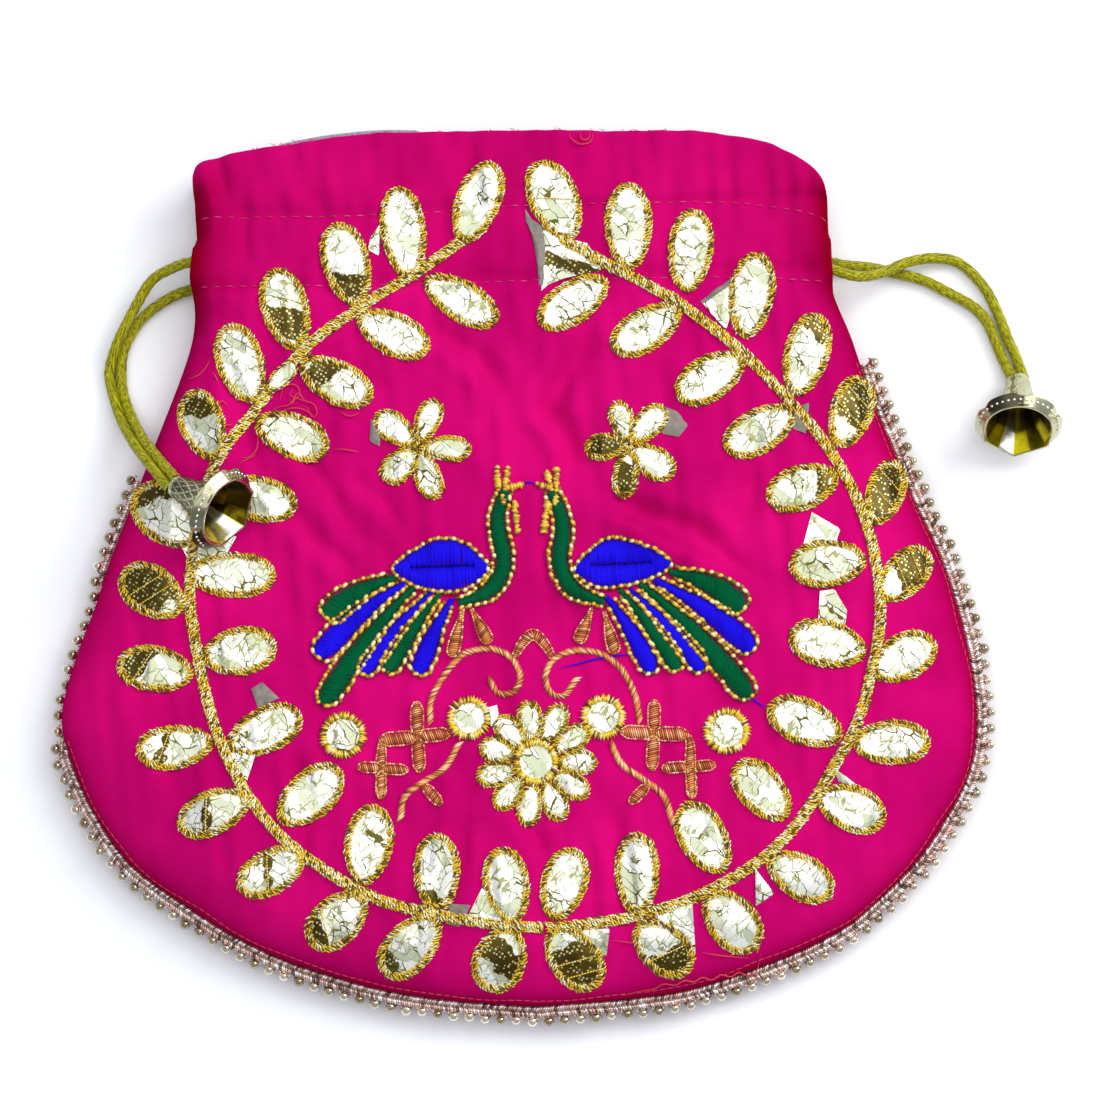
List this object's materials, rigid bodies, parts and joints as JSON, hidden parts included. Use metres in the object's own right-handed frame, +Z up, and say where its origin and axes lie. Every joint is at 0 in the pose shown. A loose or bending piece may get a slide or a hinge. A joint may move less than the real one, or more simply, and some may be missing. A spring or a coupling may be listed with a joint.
{
  "type": "drawstring pouch",
  "caption": "Satin drawstring pouch lying on its back, with a stitched casing, raised leaf-vine and peacock embroidery, a beaded edging, and drawstrings that end in flower bells.",
  "frame": {"origin": "on the table under the middle of the bag's length and width, cords and bells not counted", "axes": "+X to the right side of the embroidered front, +Y to the mouth, +Z up out of the front"},
  "size_m": [0.2423, 0.2166, 0.0356],
  "materials": {
    "satin": "satin weave",
    "lining": "plain weave",
    "cord": "twisted satin cord",
    "bell": "polished and embossed",
    "zari": "metallic thread",
    "foil": "crinkled metallised film",
    "copper_thread": "satin stitch",
    "blue_thread": "satin stitch",
    "green_thread": "satin stitch",
    "braid": "metallic braid",
    "bead": "metallised"
  },
  "bodies": {
    "root": {"front_panel": "satin", "back_panel": "satin", "front_lining": "lining", "back_lining": "lining", "edging_braid": "braid", "edging_beads": "bead", "right_leaf_vine": "zari", "right_flower": "foil", "right_inner_spangle": "foil", "right_outer_spangle": "foil", "right_peacock_body": "blue_thread", "right_peacock_neck": "green_thread", "right_peacock_feather_1": "green_thread", "right_peacock_feather_2": "blue_thread", "right_peacock_feather_3": "green_thread", "right_peacock_feather_4": "blue_thread", "right_peacock_feather_5": "green_thread", "right_peacock_feather_6": "blue_thread", "right_peacock_leg_1": "copper_thread", "right_peacock_leg_2": "copper_thread", "left_leaf_vine": "zari", "left_flower": "foil", "left_inner_spangle": "foil", "left_outer_spangle": "foil", "left_peacock_body": "blue_thread", "left_peacock_neck": "green_thread", "left_peacock_feather_1": "green_thread", "left_peacock_feather_2": "blue_thread", "left_peacock_feather_3": "green_thread", "left_peacock_feather_4": "blue_thread", "left_peacock_feather_5": "green_thread", "left_peacock_feather_6": "blue_thread", "left_peacock_leg_1": "copper_thread", "left_peacock_leg_2": "copper_thread", "daisy_petals": "foil", "daisy_centre": "foil", "scrollwork": "copper_thread", "left_bell": "bell", "left_drawstring": "cord", "right_bell": "bell", "right_drawstring": "cord"}
  },
  "joints": []
}
